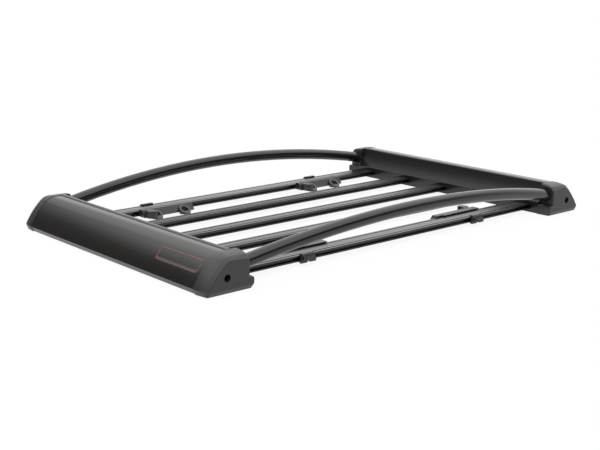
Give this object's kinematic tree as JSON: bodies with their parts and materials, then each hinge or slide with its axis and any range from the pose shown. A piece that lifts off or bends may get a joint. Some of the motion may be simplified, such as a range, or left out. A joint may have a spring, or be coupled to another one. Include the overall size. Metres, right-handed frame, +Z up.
{
  "type": "roof rack",
  "caption": "Flat open roof rack: slotted floor bars between two wedge-nosed fairings with end caps, arched side rails and clamp brackets that slide along the outer bars.",
  "frame": {"origin": "on the ground plane under the middle of the rack", "axes": "+X to the right of the vehicle, +Y towards its rear, +Z up; the front fairing is at -Y"},
  "size_m": [0.83, 1.3092, 0.1225],
  "materials": {
    "fairing": "satin black powder coat over extruded aluminium",
    "rail": "satin black powder coat over aluminium tube",
    "bar": "satin black powder coat over extruded aluminium",
    "cap": "fine-grained dark grey moulding",
    "collar": "matt black",
    "bracket": "black glass-filled nylon",
    "jaw": "black glass-filled nylon",
    "screw": "dark zinc-plated steel"
  },
  "bodies": {
    "frame": {"front_fairing": "fairing", "rear_fairing": "fairing", "cap_front_left": "cap", "cap_front_right": "cap", "cap_rear_left": "cap", "cap_rear_right": "cap", "cap_screw_front_left": "screw", "cap_screw_front_right": "screw", "cap_screw_rear_left": "screw", "cap_screw_rear_right": "screw", "rail_left": "rail", "rail_right": "rail", "collar_front_left": "collar", "collar_front_right": "collar", "collar_rear_left": "collar", "collar_rear_right": "collar", "bar_1": "bar", "bar_2": "bar", "bar_3": "bar", "bar_4": "bar", "bar_5": "bar", "bar_screw_front_1": "screw", "bar_screw_front_2": "screw", "bar_screw_front_3": "screw", "bar_screw_front_4": "screw", "bar_screw_front_5": "screw", "bar_screw_rear_1": "screw", "bar_screw_rear_2": "screw", "bar_screw_rear_3": "screw", "bar_screw_rear_4": "screw", "bar_screw_rear_5": "screw"},
    "bracket_body_front_left": {"bracket_front_left": "bracket", "jaw_front_left": "jaw", "jaw_bolt_front_left": "screw"},
    "bracket_body_front_right": {"bracket_front_right": "bracket", "jaw_front_right": "jaw", "jaw_bolt_front_right": "screw"},
    "bracket_body_rear_left": {"bracket_rear_left": "bracket", "jaw_rear_left": "jaw", "jaw_bolt_rear_left": "screw"},
    "bracket_body_rear_right": {"bracket_rear_right": "bracket", "jaw_rear_right": "jaw", "jaw_bolt_rear_right": "screw"}
  },
  "joints": [
    {"name": "slide_front_left", "type": "slide", "parent": "frame", "child": "bracket_body_front_left", "axis": [0, 1, 0], "range_m": [-0.135, 0.195]},
    {"name": "slide_front_right", "type": "slide", "parent": "frame", "child": "bracket_body_front_right", "axis": [0, 1, 0], "range_m": [-0.135, 0.195]},
    {"name": "slide_rear_left", "type": "slide", "parent": "frame", "child": "bracket_body_rear_left", "axis": [0, 1, 0], "range_m": [-0.185, 0.155]},
    {"name": "slide_rear_right", "type": "slide", "parent": "frame", "child": "bracket_body_rear_right", "axis": [0, 1, 0], "range_m": [-0.185, 0.155]}
  ]
}
